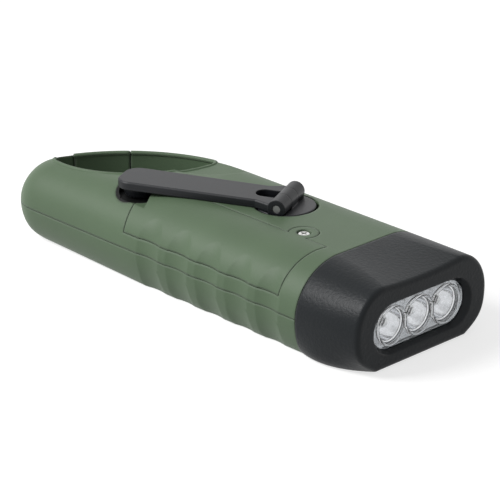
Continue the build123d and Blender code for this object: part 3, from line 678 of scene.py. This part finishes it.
def gate_gap_shade(finishes):
    """Thin dark piece on the gate's free end, which closes the gap in the loop, as painted
    shade in the gap.
    """
    source = joined_copy("gate")
    bm = bmesh.new()
    inner, outer = {}, {}
    for face in source.faces:
        reach = [(v.co / MM - GATE_PIN).to_2d().length for v in face.verts]
        if max(abs(r - GATE_REACH) for r in reach) > GAP_SHADE_FIT:
            continue
        for skin, thick in ((inner, 0.0), (outer, GAP_SHADE_THICK)):
            for v in face.verts:
                if v.index not in skin:
                    away = (v.co - GATE_PIN * MM).to_2d().normalized().to_3d()
                    skin[v.index] = bm.verts.new(v.co + away * thick * MM)
            bm.faces.new([skin[v.index] for v in face.verts])
    for edge in source.edges:
        ends = [f for f in edge.link_faces if all(v.index in inner for v in f.verts)]
        if len(ends) == 1:
            a, b = (v.index for v in edge.verts)
            bm.faces.new((inner[a], inner[b], outer[b], outer[a]))
    source.free()
    # Dark piece that stands in for the shade in the gap: painted shade.
    finish_mesh("gate_gap_shade", bm, finishes["inner_black"], "loop_gate")


# ---------------------------------------------------------------- studio
FLOOR_HALF = 3.0
FLOOR_Z = -0.0002
FLOOR_GLOW = 0.7
AIR_LIGHT, AIR_SEEN = 0.3, 1.0


def background_rays(tree):
    """1 for the rays that show the background: camera, glossy and transmission."""
    path = tree.nodes.new("ShaderNodeLightPath")
    seen = path.outputs["Is Camera Ray"]
    for name in ("Is Glossy Ray", "Is Transmission Ray"):
        either = tree.nodes.new("ShaderNodeMath")
        either.operation = "MAXIMUM"
        tree.links.new(seen, either.inputs[0])
        tree.links.new(path.outputs[name], either.inputs[1])
        seen = either.outputs[0]
    return seen


def floor_material():
    """White floor that keeps the shadow and shows a clean white to the camera."""
    g = Graph("studio_floor")
    tones = [(0.3, (0.5, 0.5, 0.5)), (0.7, (0.52, 0.52, 0.52))]
    g.link(g.ramp(g.noise(2.0), tones), g.shader.inputs["Base Color"])
    g.set(Roughness=0.9, Specular_IOR_Level=0.0, Emission_Color=(1, 1, 1, 1))
    glow = g.spread(background_rays(g.tree), 0.0, FLOOR_GLOW)
    g.link(glow, g.shader.inputs["Emission Strength"])
    return g.material


def studio_floor():
    """Wide plain floor under the part, left out of the model."""
    corners = [
        (x * FLOOR_HALF, y * FLOOR_HALF, FLOOR_Z)
        for x, y in ((-1, -1), (1, -1), (1, 1), (-1, 1))
    ]
    mesh = bpy.data.meshes.new("studio_floor")
    mesh.from_pydata(corners, [], [(0, 1, 2, 3)])
    mesh.materials.append(floor_material())
    piece = bpy.data.objects.new("studio_floor", mesh)
    bpy.context.scene.collection.objects.link(piece)


def studio_air():
    """Dim light from all round, seen as white."""
    world = bpy.data.worlds.new("studio_air")
    world.use_nodes = True
    tree = world.node_tree
    backing = tree.nodes["Background"]
    backing.inputs["Color"].default_value = (1, 1, 1, 1)
    level = tree.nodes.new("ShaderNodeMapRange")
    level.inputs["To Min"].default_value = AIR_LIGHT
    level.inputs["To Max"].default_value = AIR_SEEN
    tree.links.new(background_rays(tree), level.inputs["Value"])
    tree.links.new(level.outputs["Result"], backing.inputs["Strength"])
    bpy.context.scene.world = world


def area_light(name, place, aim, size, power):
    """Softbox at a place, turned to a point, in metres and watts."""
    data = bpy.data.lights.new(name, "AREA")
    data.shape = "RECTANGLE"
    data.size, data.size_y = size
    data.energy = power
    lamp = bpy.data.objects.new(name, data)
    lamp.location = place
    lamp.rotation_euler = (Vector(aim) - Vector(place)).to_track_quat("-Z", "Y").to_euler()
    bpy.context.scene.collection.objects.link(lamp)


def build_studio():
    studio_floor()
    studio_air()
    area_light("near_softbox", (-0.42, -0.62, 0.66), (0, 0, 0.01), (0.4, 0.4), power=8.0)
    area_light("sheen_softbox", (-0.75, 0.7, 0.42), (0, 0, 0.02), (0.5, 0.4), power=0.25)


# ---------------------------------------------------------------- the scene
place_camera()
finishes = build_finishes()
dress_nodes(finishes)
lamp_rings(finishes)
lamp_frames(finishes)
clear_window(finishes)
fold_washers(finishes)
loop_rim("upper_shell", BODY, finishes)
loop_rim("gate", "loop_gate", finishes)
gate_gap_shade(finishes)
build_studio()
scene = bpy.context.scene
scene.view_settings.view_transform = "Standard"
